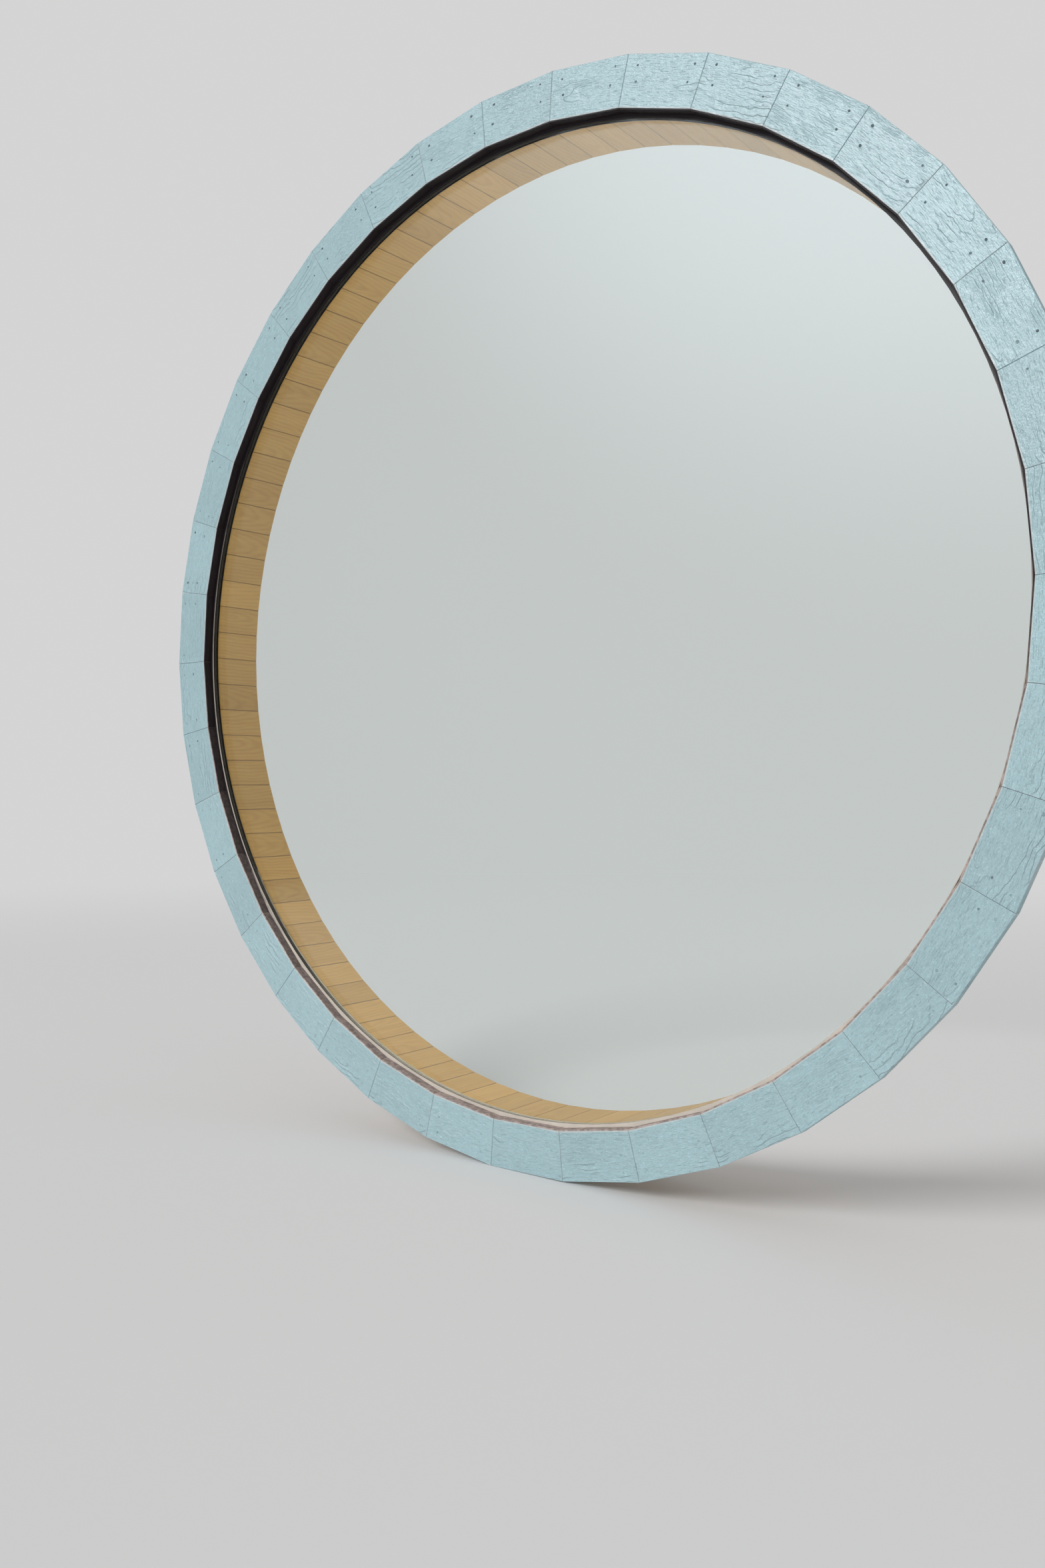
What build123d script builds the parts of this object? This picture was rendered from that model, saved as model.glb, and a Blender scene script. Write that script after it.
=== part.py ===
"""Round fixed window, six feet across, in a coopered wooden frame.

The origin is the centre of the opening, in the plane of the wall's outer face.
+X points right as seen from outdoors, +Y into the room and +Z up.
All sizes are in millimetres.
"""

import os
from math import cos, pi, radians, sin, tan

from build123d import *

# Opening, and the mitred casing boards around it outdoors
opening_diameter = 1828.8
board_count = 38
first_joint_angle = 0.65
board_width = 88.9
board_thickness = 19.0
board_edge_ease = 0.8
mitre_gap = 0.5

# Thin dark strips that line the inner edges of the casing
stop_thickness = 2.4
stop_recess = 0.5
stop_edge_ease = 0.4

# Sealed double glazing
pane_thickness = 5.0
cavity_width = 6.5
spacer_set_out = 0.5
spacer_width = 7.0
spacer_corner = 1.5
seal_width = 6.0

# Tapes that bed the glass on both faces
tape_thickness = 1.5
outer_tape_show = 4.6
inner_tape_show = 1.0

# Blocks that centre the glass in the hoop
edge_clearance = 5.0
block_length = 100.0
setting_block_angle = 25.0

# Laminated hoop that goes through the wall, and the staves that line it
wall_thickness = 133.0
hoop_thickness = 24.0
hoop_edge_ease = 1.5
stave_count = 96
stave_thickness = 16.5
stave_fit = 0.2
stave_edge_ease = 1.2

opening_radius = opening_diameter / 2
half_board = pi / board_count
board_step = 360 / board_count
board_inner = opening_radius * cos(half_board)
board_outer = board_inner + board_width

stop_inner = board_inner - stop_thickness
stop_depth = board_thickness - stop_recess

spacer_outer = board_inner + spacer_set_out
spacer_inner = spacer_outer - spacer_width
glass_radius = spacer_outer + seal_width
outer_pane_face = tape_thickness
cavity_face = outer_pane_face + pane_thickness
inner_pane_face = cavity_face + cavity_width
glass_back = inner_pane_face + pane_thickness

hoop_inner = glass_radius + edge_clearance
hoop_outer = hoop_inner + hoop_thickness
half_stave = pi / stave_count
stave_outer = (hoop_inner - stave_fit) * cos(half_stave)
stave_inner = stave_outer - stave_thickness
liner_face = glass_back + tape_thickness
liner_depth = wall_thickness - liner_face

outer_tape_inner = stop_inner - outer_tape_show
inner_tape_inner = stave_inner - inner_tape_show
block_arc = block_length / glass_radius * 180 / pi


def wall_plane(depth):
    """Sketch plane this far into the wall, facing outdoors, with X right and Y up."""
    return Plane(origin=(0, depth, 0), x_dir=(1, 0, 0), z_dir=(0, -1, 0))


def board_plane(angle):
    """Wall face turned so that sketch Y runs outward along the middle of a board."""
    turn = radians(angle)
    return Plane(origin=(0, 0, 0), x_dir=(sin(turn), 0, -cos(turn)), z_dir=(0, -1, 0))


def profile_plane(angle):
    """Plane through the window's axis, with X outward and Y into the wall."""
    turn = radians(angle)
    return Plane(origin=(0, 0, 0), x_dir=(cos(turn), 0, sin(turn)), z_dir=(-sin(turn), 0, cos(turn)))


def stave_outline(inner, outer, half_angle, ease):
    """Corners of a strip that tapers to the centre, with its two inner corners eased."""
    inner_half = inner * tan(half_angle)
    eased_half = (inner + ease) * tan(half_angle)
    outer_half = outer * tan(half_angle)
    side = [(inner, inner_half - ease), (inner + ease, eased_half), (outer, outer_half)]
    return side + [(x, -y) for x, y in reversed(side)]


os.makedirs("parts", exist_ok=True)

# The casing boards are straight, mitred at both ends and numbered clockwise from the top.
top_board_angle = first_joint_angle + board_step * (board_count // 4 + 0.5)
gap_half = mitre_gap / 2 / cos(half_board)
inner_half_length = board_inner * tan(half_board) - gap_half
outer_half_length = board_outer * tan(half_board) - gap_half
for number in range(board_count):
    with BuildPart() as casing_board:
        with BuildSketch(board_plane(top_board_angle - number * board_step)):
            Polygon(
                (-inner_half_length, board_inner),
                (inner_half_length, board_inner),
                (outer_half_length, board_outer),
                (-outer_half_length, board_outer),
                align=None,
            )
        extrude(amount=board_thickness)
        front = casing_board.faces().sort_by(Axis.Y)[0]
        chamfer(front.edges(), length=board_edge_ease)
    casing_board.part.label = f"casing_board_{number + 1:02d}"
    export_step(casing_board.part, f"parts/{casing_board.part.label}.step")

# The thin stop strips meet end to end and make one dark line inside the casing.
with BuildPart() as exterior_stop_ring:
    with BuildSketch(wall_plane(0)):
        with PolarLocations(0, board_count, start_angle=first_joint_angle + board_step / 2):
            Polygon(*stave_outline(stop_inner, board_inner, half_board, stop_edge_ease), align=None)
    extrude(amount=stop_depth)
exterior_stop_ring.part.label = "exterior_stop_ring"
export_step(exterior_stop_ring.part, "parts/exterior_stop_ring.step")

# A tape shows as a thin line between the stops and the glass.
with BuildPart() as exterior_tape:
    with BuildSketch(wall_plane(outer_pane_face)):
        Circle(glass_radius)
        Circle(outer_tape_inner, mode=Mode.SUBTRACT)
    extrude(amount=tape_thickness)
exterior_tape.part.label = "exterior_tape"
export_step(exterior_tape.part, "parts/exterior_tape.step")

# Two round panes with a sealed cavity between them
with BuildPart() as outer_pane:
    with BuildSketch(wall_plane(cavity_face)):
        Circle(glass_radius)
    extrude(amount=pane_thickness)
outer_pane.part.label = "outer_pane"
export_step(outer_pane.part, "parts/outer_pane.step")

with BuildPart() as spacer_bar:
    with BuildSketch(profile_plane(0)) as spacer_profile:
        with Locations((spacer_inner, cavity_face)):
            Rectangle(spacer_width, cavity_width, align=(Align.MIN, Align.MIN))
        chamfer(spacer_profile.vertices().sort_by(Axis.X)[2:], length=spacer_corner)
    revolve(axis=Axis.Y)
spacer_bar.part.label = "spacer_bar"
export_step(spacer_bar.part, "parts/spacer_bar.step")

# The edge seal fills the rim behind the spacer, round its eased corners.
with BuildPart() as edge_seal:
    with BuildSketch(profile_plane(0)):
        with Locations((spacer_outer - spacer_corner, cavity_face)):
            Rectangle(seal_width + spacer_corner, cavity_width, align=(Align.MIN, Align.MIN))
        add(spacer_profile.sketch, mode=Mode.SUBTRACT)
    revolve(axis=Axis.Y)
edge_seal.part.label = "edge_seal"
export_step(edge_seal.part, "parts/edge_seal.step")

with BuildPart() as inner_pane:
    with BuildSketch(wall_plane(glass_back)):
        Circle(glass_radius)
    extrude(amount=pane_thickness)
inner_pane.part.label = "inner_pane"
export_step(inner_pane.part, "parts/inner_pane.step")

with BuildPart() as interior_tape:
    with BuildSketch(wall_plane(liner_face)):
        Circle(glass_radius)
        Circle(inner_tape_inner, mode=Mode.SUBTRACT)
    extrude(amount=tape_thickness)
interior_tape.part.label = "interior_tape"
export_step(interior_tape.part, "parts/interior_tape.step")

# Two blocks carry the glass near the bottom, and two keep it from walking sideways.
block_places = {
    "setting_block_left": -90 - setting_block_angle,
    "setting_block_right": -90 + setting_block_angle,
    "side_block_left": 180,
    "side_block_right": 0,
}
for block_name, block_angle in block_places.items():
    with BuildPart() as glass_block:
        with BuildSketch(profile_plane(block_angle + block_arc / 2)):
            with Locations((glass_radius, outer_pane_face)):
                Rectangle(edge_clearance, glass_back - outer_pane_face, align=(Align.MIN, Align.MIN))
        revolve(axis=Axis.Y, revolution_arc=block_arc)
    glass_block.part.label = block_name
    export_step(glass_block.part, f"parts/{block_name}.step")

# The hoop is bent from thin plywood and carries the casing on its front edge.
with BuildPart() as frame_hoop:
    with BuildSketch(profile_plane(0)) as hoop_profile:
        with Locations((hoop_inner, 0)):
            Rectangle(hoop_thickness, wall_thickness, align=(Align.MIN, Align.MIN))
        room_corners = hoop_profile.vertices().group_by(Axis.Y)[-1]
        chamfer(room_corners, length=hoop_edge_ease)
    revolve(axis=Axis.Y)
frame_hoop.part.label = "frame_hoop"
export_step(frame_hoop.part, "parts/frame_hoop.step")

# Narrow flat staves line the hoop from the glass to the room.
with BuildPart() as jamb_liner:
    with BuildSketch(wall_plane(wall_thickness)):
        with PolarLocations(0, stave_count, start_angle=180 / stave_count):
            Polygon(*stave_outline(stave_inner, stave_outer, half_stave, stave_edge_ease), align=None)
    extrude(amount=liner_depth)
jamb_liner.part.label = "jamb_liner"
export_step(jamb_liner.part, "parts/jamb_liner.step")
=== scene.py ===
"""Looks of the round window: its finishes, filled nail heads, studio and camera.

Everything is in metres, in the window's own frame: the origin is the centre of the
opening in the plane of the wall's outer face, +Y goes into the room and +Z up.
"""

import random
from math import cos, pi, radians, sin, tan

import bmesh
import bpy
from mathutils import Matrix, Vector


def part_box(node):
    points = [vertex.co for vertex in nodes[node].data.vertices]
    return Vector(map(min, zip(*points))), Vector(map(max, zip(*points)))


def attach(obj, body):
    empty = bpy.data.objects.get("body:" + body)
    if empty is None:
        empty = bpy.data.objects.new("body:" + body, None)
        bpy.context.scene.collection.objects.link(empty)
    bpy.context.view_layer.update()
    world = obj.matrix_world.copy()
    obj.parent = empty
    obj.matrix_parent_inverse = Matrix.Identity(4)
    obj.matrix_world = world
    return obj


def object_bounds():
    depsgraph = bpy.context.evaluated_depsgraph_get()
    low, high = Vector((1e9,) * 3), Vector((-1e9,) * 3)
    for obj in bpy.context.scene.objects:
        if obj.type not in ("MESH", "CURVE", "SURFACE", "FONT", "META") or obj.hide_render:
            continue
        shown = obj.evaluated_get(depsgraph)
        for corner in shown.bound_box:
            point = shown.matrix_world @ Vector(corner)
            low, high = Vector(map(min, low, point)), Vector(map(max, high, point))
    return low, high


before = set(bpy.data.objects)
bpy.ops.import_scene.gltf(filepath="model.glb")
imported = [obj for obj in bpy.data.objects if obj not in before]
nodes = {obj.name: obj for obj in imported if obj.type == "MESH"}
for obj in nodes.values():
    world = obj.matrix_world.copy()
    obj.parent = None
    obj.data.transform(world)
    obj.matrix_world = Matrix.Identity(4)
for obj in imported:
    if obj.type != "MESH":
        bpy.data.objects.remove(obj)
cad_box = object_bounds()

# What repeats round the opening
board_names = sorted(name for name in nodes if name.startswith("casing_board_"))
board_count = len(board_names)
board_step = 2 * pi / board_count
first_joint = radians(0.65)
stave_count = 96

# Radii and depths
opening_radius = 0.9144
board_width = 0.0889
board_inner = opening_radius * cos(board_step / 2)
stop_thickness = 0.0024
stop_recess = 0.0005
casing_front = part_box("exterior_stop_ring")[0].y - stop_recess
tape_show = 0.0046
tape_inner = board_inner - stop_thickness - tape_show
cavity_middle = sum(corner.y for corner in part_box("spacer_bar")) / 2
hoop_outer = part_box("frame_hoop")[1].z
floor_height = cad_box[0].z

# The photograph's camera
camera_place = (1.4552, -1.8901, -0.2748)
camera_turn = radians(37.806)
camera_lens = 29.60
camera_film = 36.0
horizon_shift = -0.00395

# Studio. The key light's heading is the way that its light travels.
white = (1, 1, 1, 1)
backdrop_level = 0.66
mirrored_level = 0.26
ambient_level = 0.52
key_level = 1.75
key_softness = radians(26)
key_heading = (0.22, 1.0, -0.67)

# The glow of a large lamp in what gloss and glass mirror. It grows as the cosine from the
# lamp's middle goes through the spread, and as the direction climbs through the rise.
glow_colour = (0.80, 0.90, 1.0, 1)
glow_level = 1.5
glow_spread = (0.84, 1.0)
glow_rise = (0.0, 0.45)

# The floor fades into the backdrop between two distances from the window.
floor_colour = (0.74, 0.74, 0.74)
floor_radius = 16.0
floor_fade = (3.0, 7.5)


class Finish:
    """A node material. Its methods take sockets or plain numbers, and most give back a socket."""

    def __init__(self, name):
        self.material = bpy.data.materials.new(name)
        self.material.use_nodes = True
        self.tree = self.material.node_tree
        self.tree.nodes.clear()
        self.surface = self.node("BsdfPrincipled")
        self.output = self.node("OutputMaterial")
        self.tree.links.new(self.surface.outputs["BSDF"], self.output.inputs["Surface"])
        self.place = self.node("TexCoord").outputs["Object"]

    def node(self, kind, inputs=None, **settings):
        made = self.tree.nodes.new("ShaderNode" + kind)
        for name, value in settings.items():
            setattr(made, name, value)
        for name, value in (inputs or {}).items():
            self.feed(made.inputs[name], value)
        return made

    def feed(self, socket, value):
        if isinstance(value, bpy.types.NodeSocket):
            self.tree.links.new(value, socket)
        elif isinstance(value, (tuple, list)) and socket.type == "RGBA":
            socket.default_value = (*value[:3], 1.0)
        else:
            socket.default_value = value

    def set(self, **values):
        """What goes into the surface's own sockets, with _ for a space in their names."""
        for name, value in values.items():
            self.feed(self.surface.inputs[name.replace("_", " ")], value)

    def math(self, operation, *values):
        made = self.node("Math", operation=operation)
        for socket, value in zip(made.inputs, values):
            self.feed(socket, value)
        return made.outputs[0]

    def plus(self, base, *weighted):
        """The base plus each of the other values times its weight."""
        for value, weight in weighted:
            base = self.math("MULTIPLY_ADD", value, weight, base)
        return base

    def minus(self, first, second):
        return self.math("SUBTRACT", first, second)

    def times(self, first, *others):
        for value in others:
            first = self.math("MULTIPLY", first, value)
        return first

    def unsigned(self, value):
        return self.math("ABSOLUTE", value)

    def length(self, first, second):
        """How far from the origin a point with these two coordinates lies."""
        return self.math("SQRT", self.math("ADD", self.times(first, first), self.times(second, second)))

    def swing(self, value, low, high):
        """A value from 0 to 1 turned into one from low to high."""
        return self.math("MULTIPLY_ADD", value, high - low, low)

    def smooth(self, value, low, high, start=0.0, end=1.0):
        """A value that eases from start to end as the input goes from low to high."""
        inputs = {"Value": value, "From Min": low, "From Max": high, "To Min": start, "To Max": end}
        return self.node("MapRange", inputs, interpolation_type="SMOOTHSTEP").outputs[0]

    def fade(self, value, low, high):
        """1 up to low, easing to 0 at high."""
        return self.smooth(value, low, high, 1.0, 0.0)

    def split(self, vector):
        return self.node("SeparateXYZ", {"Vector": vector}).outputs

    def normal(self):
        """Which way the surface faces, as X, Y and Z."""
        return self.split(self.node("NewGeometry").outputs["Normal"])

    def noise(self, vector, scale=1.0, detail=2.0, roughness=0.5):
        inputs = {"Vector": vector, "Scale": scale, "Detail": detail, "Roughness": roughness}
        return self.node("TexNoise", inputs).outputs[0]

    def grain(self, first, second, third, detail=2.0, roughness=0.5):
        """Noise over three values, each given with the number of cells in one unit of it."""
        x, y, z = (self.times(value, cells) for value, cells in (first, second, third))
        place = self.node("CombineXYZ", {"X": x, "Y": y, "Z": z}).outputs[0]
        return self.noise(place, detail=detail, roughness=roughness)

    def random(self, value, seed):
        shifted = self.math("ADD", value, seed)
        return self.node("TexWhiteNoise", {"W": shifted}, noise_dimensions="1D").outputs["Value"]

    def blend(self, share, first, second):
        made = self.node("Mix", data_type="RGBA")
        self.feed(made.inputs[0], share)
        self.feed(made.inputs[6], first)
        self.feed(made.inputs[7], second)
        return made.outputs[2]

    def shade(self, colour, factor):
        """A colour made lighter or darker by a factor."""
        made = self.node("VectorMath", operation="SCALE")
        self.feed(made.inputs[0], colour)
        self.feed(made.inputs["Scale"], factor)
        return made.outputs[0]

    def relief(self, height, depth):
        """Height, 0 to 1, becomes bumps of this depth in metres."""
        made = self.node("Bump", {"Height": height, "Distance": depth, "Strength": 1.0})
        self.tree.links.new(made.outputs[0], self.surface.inputs["Normal"])


def strip_coordinates(finish, count, first):
    """Where a point lies on the flat strip that it belongs to, from its angle about the axis.

    count strips go round the opening, and first is the angle of a joint between two of them.
    Gives the distance along the strip from its middle, the distance out from the axis,
    the depth into the wall and the strip's number.
    """
    x, depth, z = finish.split(finish.place)
    step = 2 * pi / count
    angle = finish.math("ARCTAN2", z, x)
    number = finish.math("FLOOR", finish.math("DIVIDE", finish.minus(angle, first), step))
    middle = finish.plus(first + step / 2, (number, step))
    cosine = finish.math("COSINE", middle)
    sine = finish.math("SINE", middle)
    along = finish.minus(finish.times(z, cosine), finish.times(x, sine))
    outward = finish.math("ADD", finish.times(x, cosine), finish.times(z, sine))
    return along, outward, depth, number


def ring_turns(finish, along, across, number, stretch, spacing, wander):
    """Growth rings of a flat-sawn board: nested loops, far longer than wide, that wander.

    A loop is as wide as stretch times its length. Rings are spacing apart, and wander sets
    how far they bend. Gives how far through its ring a point lies, from 0 to 1.
    """
    nick_depth = spacing * 0.36
    heart_across = finish.swing(finish.random(number, 3.1), -0.055, 0.055)
    heart_along = finish.swing(finish.random(number, 8.7), -0.08, 0.08)
    lengthways = finish.times(finish.minus(along, heart_along), stretch)
    apart = finish.length(finish.minus(across, heart_across), lengthways)
    bends = finish.grain((along, 20.0), (across, 34.0), (number, 1.0))
    nicks = finish.grain((along, 130.0), (across, 90.0), (number, 1.0))
    bent = finish.plus(apart, (finish.minus(bends, 0.5), wander), (nicks, nick_depth))
    return finish.math("FRACT", finish.math("DIVIDE", bent, spacing))


def painted_board(finish, colour, primer, undercoat, sealant):
    """Satin paint over the embossed grain of the casing boards, with a primed back.

    The paint is thin on the long edges, and over the mitres it is thin and paler as a painted highlight
    where the joints catch the light. A line of sealant follows the inner edge.
    """
    ring_spacing = 0.0092
    ring_step = 0.92
    grain_depth = 0.0009
    rubbed_width = 0.0022
    sealed_width = 0.0018
    along, outward, depth, number = strip_coordinates(finish, board_count, first_joint)
    across = finish.minus(outward, board_inner + board_width / 2)

    def layer(lengthways, sideways, seed, detail, roughness=0.6):
        """Noise drawn out along the board, at so many cells in a metre each way."""
        shifted = finish.math("ADD", number, seed)
        return finish.grain((along, lengthways), (across, sideways), (shifted, 1.0), detail, roughness)

    patchy = layer(lengthways=11.0, sideways=24.0, seed=0.5, detail=2.0, roughness=0.5)
    fibres = layer(lengthways=42.0, sideways=520.0, seed=0.0, detail=3.0)
    swells = layer(lengthways=105.0, sideways=230.0, seed=23.4, detail=3.0)
    strokes = finish.smooth(layer(lengthways=70.0, sideways=780.0, seed=11.3, detail=3.0), 0.58, 0.70)
    flecks = finish.smooth(layer(lengthways=210.0, sideways=420.0, seed=31.7, detail=2.0), 0.60, 0.72)
    stipple = finish.noise(finish.place, scale=360.0, detail=2.0)
    patches = finish.noise(finish.place, scale=6.0, detail=4.0)

    turns = ring_turns(finish, along, across, number, 0.22, ring_spacing, 0.022)
    figured = finish.plus(finish.minus(patchy, 0.07), (finish.random(number, 5.5), 0.14))
    figured = finish.smooth(figured, 0.49, 0.60)
    ripple = finish.times(finish.smooth(turns, 0.0, 0.75), finish.fade(turns, 0.84, 1.0))
    from_step = finish.unsigned(finish.minus(turns, ring_step))
    lines = finish.times(finish.fade(from_step, 0.0, 0.10), figured)
    height = finish.plus(
        swells, (finish.times(ripple, figured), 0.9), (fibres, 0.6), (stipple, 0.35), (strokes, -0.30)
    )
    finish.relief(height, grain_depth)

    tone = finish.times(
        finish.swing(finish.random(number, 1.9), 0.96, 1.04),
        finish.swing(patches, 0.92, 1.08),
        finish.swing(fibres, 0.90, 1.10),
        finish.swing(strokes, 1.0, 0.91),
        finish.swing(flecks, 1.0, 1.24),
        finish.swing(lines, 1.0, 0.81),
        finish.swing(stipple, 0.82, 1.18),
        finish.swing(swells, 0.84, 1.14),
    )
    paint = finish.shade(colour, tone)

    from_edge = finish.minus(board_width / 2, finish.unsigned(across))
    rubbed = finish.times(finish.fade(from_edge, 0.0, rubbed_width), finish.smooth(patchy, 0.42, 0.62))
    half_length = finish.times(outward, tan(board_step / 2))
    from_mitre = finish.minus(half_length, finish.unsigned(along))
    # Over the mitres: thin paint and a painted highlight where the joints catch the light.
    filled = finish.times(
        finish.fade(from_mitre, 0.0005, rubbed_width),
        finish.smooth(patchy, 0.36, 0.56),
        finish.swing(finish.random(number, 2.7), 0.4, 2.0),
    )
    wear_and_highlight = finish.times(finish.math("ADD", rubbed, filled), 0.35)
    paint = finish.blend(wear_and_highlight, paint, undercoat)
    from_inside = finish.math("ADD", across, board_width / 2)
    sealed = finish.fade(finish.plus(from_inside, (patchy, -0.003)), 0.0, sealed_width)
    paint = finish.blend(finish.times(sealed, 0.45), paint, sealant)

    brushed = finish.plus(depth, (finish.noise(finish.place, scale=60.0), 0.004))
    back = finish.smooth(brushed, -0.0002, 0.0014)
    facing = finish.unsigned(finish.normal()[1])
    gloss = finish.plus(finish.smooth(facing, 0.3, 0.8, 0.66, 0.30), (fibres, 0.14), (strokes, 0.2))
    finish.set(
        Base_Color=finish.blend(back, paint, finish.shade(primer, tone)),
        Roughness=gloss,
        Specular_IOR_Level=0.9,
    )


def dimple_paint(finish, dark, filled):
    """Paint in the dimples over the nails: dark higher up as painted shade in the dimple, nearly filled
    lower down.
    """
    pores = finish.noise(finish.place, scale=900.0, detail=2.0)
    patches = finish.noise(finish.place, scale=13.0, detail=2.0)
    height = finish.split(finish.place)[2]
    # Painted shade: the dimples darker higher up.
    share = finish.smooth(finish.plus(patches, (height, 0.22)), 0.32, 0.68)
    colour = finish.shade(finish.blend(share, filled, dark), finish.swing(pores, 0.85, 1.15))
    finish.set(Base_Color=colour, Roughness=finish.swing(share, 0.45, 0.65))
    finish.relief(pores, 0.0002)


def painted_stop(finish, colour, dust):
    """Dark satin paint with fine grain, near-black as painted shade. Dust and painted sunlight lie where it
    faces up, and low down in front.
    """
    along, outward, depth, number = strip_coordinates(finish, board_count, first_joint)
    height = finish.split(finish.place)[2]
    shifted_depth = finish.plus(number, (depth, 500.0))
    grain = finish.grain((along, 16.0), (outward, 500.0), (shifted_depth, 1.0), detail=3.0)
    patches = finish.noise(finish.place, scale=14.0, detail=4.0)
    mottle = finish.noise(finish.place, scale=120.0, detail=3.0)
    tone = finish.plus(0.45, (patches, 0.6), (grain, 0.5))
    tone = finish.times(tone, finish.swing(finish.random(number, 4.4), 0.9, 1.1))

    # Pale where it faces up and low down in front: dust together with painted sunlight.
    _, inward, up = finish.normal()
    on_top = finish.times(finish.math("POWER", finish.math("MAXIMUM", up, 0.0), 2.0), 0.80)
    low_down = finish.smooth(finish.plus(height, (patches, 0.3)), -0.25, 0.22, 0.95, 0.0)
    in_front = finish.times(low_down, finish.fade(inward, -0.9, -0.5))
    dust_and_sunlight_share = finish.math("MAXIMUM", on_top, in_front)
    dust_and_sunlight_share = finish.times(dust_and_sunlight_share, finish.smooth(mottle, 0.36, 0.62, 0.55, 1.0))
    painted = finish.blend(dust_and_sunlight_share, finish.shade(colour, tone), dust)
    finish.set(Base_Color=painted, Roughness=finish.swing(grain, 0.42, 0.67), Specular_IOR_Level=0.25)
    finish.relief(grain, 0.0003)


def dusty_tape(finish, colour, dust, rim_start):
    """Dark glazing tape. Dust and painted sunlight make its lowest part pale, and creep up along its inner
    edge.

    rim_start is how far below the window's middle the pale inner edge begins.
    """
    rim_reach = 0.8
    x, _, z = finish.split(finish.place)
    pores = finish.noise(finish.place, scale=900.0, detail=2.0)
    smears = finish.noise(finish.place, scale=26.0, detail=4.0)
    below = finish.minus(finish.swing(smears, -0.15, 0.15), z)
    rim = finish.fade(finish.length(x, z), tape_inner + 0.0008, tape_inner + 0.0018)
    on_rim = finish.times(rim, finish.smooth(below, rim_start, rim_start + rim_reach))
    # Pale on the lowest part and along the lower inner edge: dust together with painted sunlight.
    dust_and_sunlight_share = finish.math("MAXIMUM", on_rim, finish.smooth(below, 0.42, 0.64))
    tone = finish.plus(0.62, (smears, 0.4), (pores, 0.3))
    finish.set(
        Base_Color=finish.shade(finish.blend(dust_and_sunlight_share, colour, dust), tone),
        Roughness=finish.swing(dust_and_sunlight_share, 0.50, 0.85),
    )
    finish.relief(pores, 0.0002)


def soft_strip(finish, colour, rough, grime):
    """Rubber or sealant: fine pores and a little grime."""
    pores = finish.noise(finish.place, scale=900.0, detail=2.0)
    smears = finish.noise(finish.place, scale=22.0, detail=4.0)
    tone = finish.plus(0.88 - grime * 0.5, (smears, grime), (pores, 0.25))
    roughness = finish.swing(smears, rough - 0.1, rough + 0.1)
    finish.set(Base_Color=finish.shade(colour, tone), Roughness=roughness)
    finish.relief(pores, 0.0002)


def clear_pane(finish, colour):
    """Float glass. Its faint waves bend what it mirrors a little."""
    finish.set(Base_Color=colour, Roughness=0.0, IOR=1.5, Transmission_Weight=1.0)
    waves = finish.noise(finish.place, scale=1.6, detail=1.0)
    finish.relief(waves, 0.0006)


def spacer_metal(finish, colour, faded, hollow):
    """Aluminium with a row of small vents. Dark as painted shade, pale along the bottom as painted sunlight,
    and each vent dark as painted shade in its hole.
    """
    vents_round = 1140
    x, depth, z = finish.split(finish.place)
    angle = finish.math("ARCTAN2", z, x)
    row = finish.math("FRACT", finish.times(angle, vents_round / (2 * pi)))
    off_row = finish.unsigned(finish.minus(row, 0.5))
    off_middle = finish.unsigned(finish.minus(depth, cavity_middle))
    vent = finish.times(finish.fade(off_row, 0.10, 0.20), finish.fade(off_middle, 0.0004, 0.0009))
    drawn = finish.grain((angle, 6.0), (depth, 1500.0), (0.0, 1.0), detail=3.0)
    # Painted sunlight where the surface faces up; the dark colour elsewhere is painted shade.
    pale = finish.smooth(finish.normal()[2], 0.72, 0.95)
    metal = finish.shade(finish.blend(pale, colour, faded), finish.swing(drawn, 0.85, 1.15))
    finish.set(Base_Color=finish.blend(vent, metal, hollow), Roughness=finish.swing(drawn, 0.35, 0.55))
    finish.set(Metallic=0.6)
    finish.relief(finish.minus(drawn, vent), 0.0002)


def clear_coated_staves(finish, light, dark):
    """Golden wood under a thin clear coat, its grain running into the room, each stave its own."""
    ring_spacing = 0.0075
    joint_width = 0.0019
    along, outward, depth, number = strip_coordinates(finish, stave_count, 0.0)
    turns = ring_turns(finish, depth, along, number, 0.16, ring_spacing, 0.010)
    loops = finish.fade(finish.unsigned(finish.minus(turns, 0.5)), 0.0, 0.40)
    fibres = finish.grain((depth, 22.0), (along, 520.0), (number, 1.0), detail=4.0, roughness=0.65)
    shifted = finish.math("ADD", number, 40.5)
    stripes = finish.grain((depth, 5.0), (along, 90.0), (shifted, 1.0))
    share = finish.plus(finish.times(fibres, 0.35), (stripes, 0.45), (loops, 0.14))
    wood = finish.blend(finish.smooth(share, 0.20, 0.85), light, dark)
    half_width = finish.times(outward, tan(pi / stave_count))
    from_joint = finish.minus(half_width, finish.unsigned(along))
    joint = finish.fade(from_joint, 0.0002, joint_width)
    tone = finish.times(finish.swing(finish.random(number, 6.2), 0.90, 1.08), finish.swing(joint, 1.0, 0.58))
    finish.set(Base_Color=finish.shade(wood, tone), Roughness=finish.swing(fibres, 0.34, 0.56))
    finish.set(Coat_Weight=0.25, Coat_Roughness=0.22)
    finish.relief(finish.minus(finish.times(fibres, 0.6), finish.times(loops, 0.4)), 0.0002)


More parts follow.
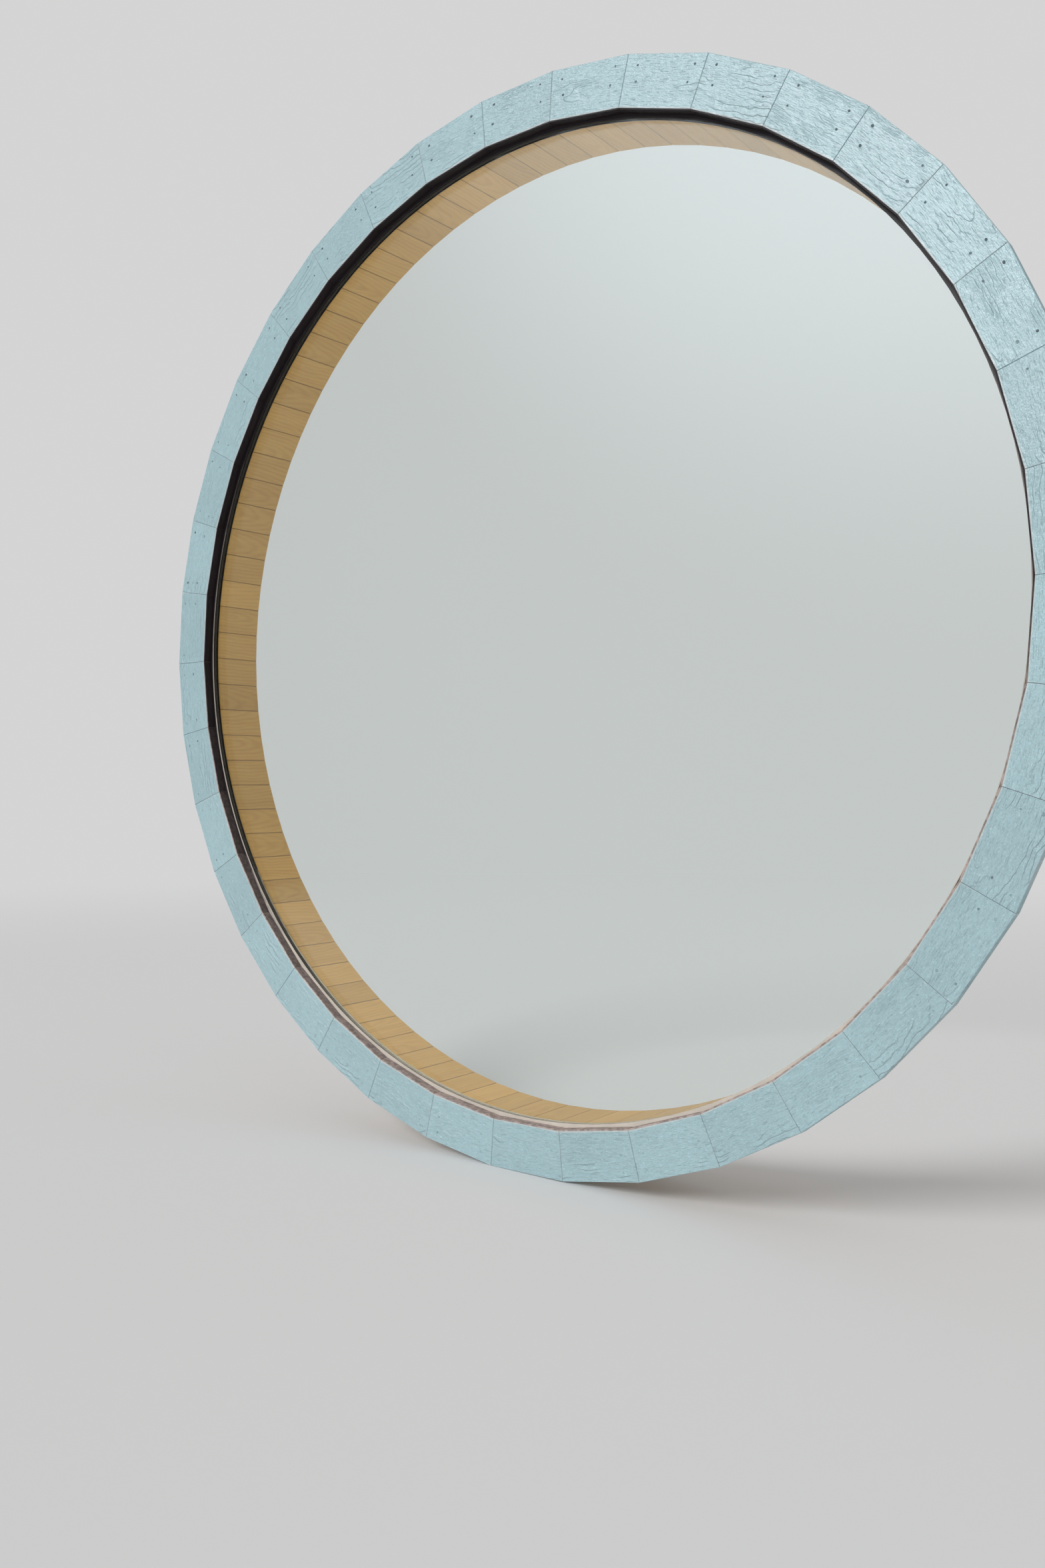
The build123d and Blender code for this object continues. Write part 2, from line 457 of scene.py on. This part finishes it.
def bent_plywood(finish, face, ply):
    """Plywood bent round the opening: face grain with butt seams, and plies on its edges."""
    seams = 3
    seam_turn = 0.22
    ply_thickness = 0.0032
    x, depth, z = finish.split(finish.place)
    radius = finish.length(x, z)
    angle = finish.math("ARCTAN2", z, x)
    round_it = finish.times(angle, hoop_outer)
    fibres = finish.grain((round_it, 9.0), (depth, 330.0), (radius, 330.0), detail=4.0, roughness=0.6)
    figure = finish.grain((round_it, 2.2), (depth, 32.0), (5.0, 1.0), detail=3.0)
    tone = finish.plus(0.55, (figure, 0.55), (fibres, 0.36))

    turn = finish.math("FRACT", finish.plus(seam_turn, (angle, seams / (2 * pi))))
    seam = finish.fade(finish.unsigned(finish.minus(turn, 0.5)), 0.00012, 0.0003)
    on_face = finish.shade(face, finish.times(tone, finish.swing(seam, 1.0, 0.3)))

    plies = finish.math("FRACT", finish.math("DIVIDE", radius, ply_thickness))
    glue = finish.fade(finish.unsigned(finish.minus(plies, 0.5)), 0.06, 0.14)
    banded = finish.blend(finish.smooth(plies, 0.48, 0.52), face, ply)
    on_edge = finish.shade(banded, finish.times(tone, finish.swing(glue, 1.0, 0.45)))

    is_edge = finish.smooth(finish.unsigned(finish.normal()[1]), 0.4, 0.6)
    finish.set(Base_Color=finish.blend(is_edge, on_face, on_edge), Roughness=finish.swing(fibres, 0.5, 0.7))
    finish.relief(finish.minus(fibres, seam), 0.0003)


def finished(name, build, **looks):
    """A new material with the look that build gives it."""
    finish = Finish(name)
    build(finish, **looks)
    return finish.material


# The undercoat colour also paints the highlight over the mitres.
teal_paint = finished(
    "teal_paint", painted_board,
    colour=(0.345, 0.503, 0.541), primer=(0.62, 0.61, 0.56),
    undercoat=(0.56, 0.64, 0.66), sealant=(0.66, 0.63, 0.61),
)
# The dark dimple colour is painted shade.
nail_paint = finished("nail_paint", dimple_paint, dark=(0.065, 0.100, 0.115), filled=(0.285, 0.42, 0.45))
# Near-black as painted shade; the pale blend is dust together with painted sunlight.
stop_paint = finished("stop_paint", painted_stop, colour=(0.016, 0.010, 0.0115), dust=(0.49, 0.395, 0.36))
# Both tapes are pale low down from dust together with painted sunlight.
glazing_tape = finished(
    "glazing_tape", dusty_tape, colour=(0.022, 0.017, 0.020), dust=(0.66, 0.60, 0.53), rim_start=-0.5
)
room_tape = finished(
    "room_tape", dusty_tape, colour=(0.020, 0.018, 0.016), dust=(0.66, 0.58, 0.45), rim_start=0.42
)
pane_glass = finished("pane_glass", clear_pane, colour=(0.955, 0.985, 0.975))
# The spacer's dark colour is painted shade, its pale one painted sunlight, and the vents painted shade.
aluminium = finished(
    "aluminium", spacer_metal,
    colour=(0.050, 0.042, 0.030), faded=(0.55, 0.49, 0.38), hollow=(0.02, 0.02, 0.02),
)
black_rubber = finished("black_rubber", soft_strip, colour=(0.022, 0.022, 0.024), rough=0.6, grime=0.4)
block_rubber = finished("block_rubber", soft_strip, colour=(0.050, 0.050, 0.052), rough=0.7, grime=0.5)
plywood = finished("plywood", bent_plywood, face=(0.56, 0.40, 0.235), ply=(0.36, 0.22, 0.115))
stave_wood = finished(
    "stave_wood", clear_coated_staves, light=(0.80, 0.460, 0.105), dark=(0.62, 0.315, 0.055)
)

node_finishes = {
    "exterior_stop_ring": stop_paint,
    "exterior_tape": glazing_tape,
    "outer_pane": pane_glass,
    "spacer_bar": aluminium,
    "edge_seal": black_rubber,
    "inner_pane": pane_glass,
    "interior_tape": room_tape,
    "setting_block_left": block_rubber,
    "setting_block_right": block_rubber,
    "side_block_left": block_rubber,
    "side_block_right": block_rubber,
    "frame_hoop": plywood,
    "jamb_liner": stave_wood,
}
node_finishes.update({name: teal_paint for name in board_names})

for name, material in node_finishes.items():
    for slot in nodes[name].material_slots:
        slot.material = material

# Light falls through the panes as if they weren't there, so it counts once.
for name in ("outer_pane", "inner_pane"):
    nodes[name].visible_shadow = False
    nodes[name].visible_diffuse = False


def nail_heads():
    """Filled and painted nail heads, two near each end of every casing board."""
    rows_out = (0.040, 0.072)
    from_joint = 0.024
    drift = 0.005
    drift_out = 0.6
    sizes = (0.80, 1.15)
    stretches = (0.90, 1.45)
    sides = 12
    # The radius and height of each loop of corners, from the rim to the dimple's floor
    dimple_profile = ((0.0036, 0.00001), (0.0031, 0.00012), (0.0026, 0.00010), (0.0021, 0.00003))
    chance = random.Random(38)
    shape_chance = random.Random(4)
    mesh = bmesh.new()
    for board in range(board_count):
        middle = first_joint + (board + 0.5) * board_step
        outward = Vector((cos(middle), 0, sin(middle)))
        along = Vector((-sin(middle), 0, cos(middle)))
        for end in (-1, 1):
            for row in rows_out:
                out = board_inner + row + chance.uniform(-drift, drift) * drift_out
                reach = out * tan(board_step / 2) - from_joint + chance.uniform(-drift, drift)
                centre = outward * out + along * (end * reach)
                centre.y = casing_front
                size = shape_chance.uniform(*sizes)
                length = size * shape_chance.uniform(*stretches)
                loops = []
                for radius, rise in dimple_profile:
                    loop = []
                    for corner in range(sides):
                        turn = 2 * pi * corner / sides
                        offset = (outward * cos(turn) * size + along * sin(turn) * length) * radius
                        loop.append(mesh.verts.new(centre + offset - Vector((0, rise, 0))))
                    loops.append(loop)
                for outer, inner in zip(loops, loops[1:]):
                    for corner in range(sides):
                        after = (corner + 1) % sides
                        mesh.faces.new((outer[corner], outer[after], inner[after], inner[corner]))
                # The dimple's floor takes the nail paint, with its painted shade.
                dimple = mesh.faces.new(loops[-1])
                dimple.material_index = 1
                mesh.faces.new(list(reversed(loops[0])))
    mesh.normal_update()
    bmesh.ops.recalc_face_normals(mesh, faces=mesh.faces)
    data = bpy.data.meshes.new("nail_heads")
    mesh.to_mesh(data)
    mesh.free()
    data.materials.append(teal_paint)
    data.materials.append(nail_paint)
    piece = bpy.data.objects.new("nail_heads", data)
    bpy.context.scene.collection.objects.link(piece)
    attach(piece, "root")


def studio_floor():
    """A pale floor that fades into the backdrop away from the window."""
    finish = Finish("studio_floor")
    finish.set(Base_Color=floor_colour, Roughness=0.75, Specular_IOR_Level=0.2)
    rays = finish.node("LightPath").outputs
    bounces = finish.minus(rays["Ray Depth"], rays["Transmission Depth"])
    turned = finish.math("GREATER_THAN", bounces, 0.5)
    mirrored = finish.times(turned, rays["Is Glossy Ray"])
    level = finish.swing(mirrored, backdrop_level, mirrored_level)
    glow = finish.node("Emission", {"Color": white, "Strength": level})
    x, y, _ = finish.split(finish.place)
    mixed = finish.node("MixShader", {"Fac": finish.smooth(finish.length(x, y), *floor_fade)})
    finish.tree.links.new(finish.surface.outputs["BSDF"], mixed.inputs[1])
    finish.tree.links.new(glow.outputs["Emission"], mixed.inputs[2])
    finish.tree.links.new(mixed.outputs["Shader"], finish.output.inputs["Surface"])
    bpy.ops.mesh.primitive_circle_add(
        vertices=96, radius=floor_radius, fill_type="NGON", location=(0, 0, floor_height)
    )
    floor = bpy.context.object
    floor.name = "studio_floor"
    floor.data.materials.append(finish.material)


def studio_world():
    """Soft light from all round. The camera, gloss and glass see a plain pale backdrop instead.

    What gloss and glass mirror is darker than the backdrop, with the glow of a large soft lamp
    on the light's side. A ray that only passed through glass has turned no corner, so it sees
    the plain backdrop.
    """
    world = bpy.data.worlds.new("studio")
    bpy.context.scene.world = world
    world.use_nodes = True
    tree = world.node_tree
    tree.nodes.clear()

    def node(kind, *inputs, **settings):
        made = tree.nodes.new("ShaderNode" + kind)
        for name, value in settings.items():
            setattr(made, name, value)
        for socket, value in zip(made.inputs, inputs):
            if isinstance(value, bpy.types.NodeSocket):
                tree.links.new(value, socket)
            else:
                socket.default_value = value
        return made.outputs

    def math(operation, *values):
        return node("Math", *values, operation=operation)[0]

    def smooth(value, low, high, start, end):
        return node("MapRange", value, low, high, start, end, interpolation_type="SMOOTHSTEP")[0]

    # The world counts a ray one bounce deeper than a surface does.
    rays = node("LightPath")
    gloss_or_glass = math("MAXIMUM", rays["Is Glossy Ray"], rays["Is Transmission Ray"])
    seen = math("MAXIMUM", rays["Is Camera Ray"], gloss_or_glass)
    bounces = math("SUBTRACT", rays["Ray Depth"], rays["Transmission Depth"])
    mirrored = math("GREATER_THAN", bounces, 1.5)
    level = math("MULTIPLY_ADD", mirrored, mirrored_level - backdrop_level, backdrop_level)

    to_lamp = -Vector(key_heading).normalized()
    direction = node("TexCoord")["Generated"]
    facing = node("VectorMath", direction, tuple(to_lamp), operation="DOT_PRODUCT")["Value"]
    spread = smooth(facing, *glow_spread, 0.0, glow_level)
    rise = smooth(node("SeparateXYZ", direction)[2], *glow_rise, 0.0, 1.0)
    glow = math("MULTIPLY", math("MULTIPLY", spread, rise), mirrored)

    ambient = node("Background", white, ambient_level)[0]
    plain = node("Background", white, level)[0]
    lamp = node("Background", glow_colour, glow)[0]
    backdrop = node("AddShader", plain, lamp)[0]
    node("OutputWorld", node("MixShader", seen, ambient, backdrop)[0])


def key_light():
    """One broad soft light from where the photograph's comes: high, in front and to the left."""
    data = bpy.data.lights.new("key", "SUN")
    data.angle = key_softness
    data.energy = key_level
    light = bpy.data.objects.new("key", data)
    light.rotation_euler = Vector(key_heading).to_track_quat("-Z", "Y").to_euler()
    light.visible_transmission = False
    bpy.context.scene.collection.objects.link(light)


def photograph_camera():
    data = bpy.data.cameras.new("camera")
    data.sensor_width = camera_film
    data.lens = camera_lens
    data.shift_y = horizon_shift
    camera = bpy.data.objects.new("camera", data)
    camera.location = camera_place
    camera.rotation_euler = (pi / 2, 0, camera_turn)
    bpy.context.scene.collection.objects.link(camera)
    bpy.context.scene.camera = camera


nail_heads()
studio_floor()
studio_world()
key_light()
photograph_camera()
bpy.context.scene.view_settings.view_transform = "Standard"
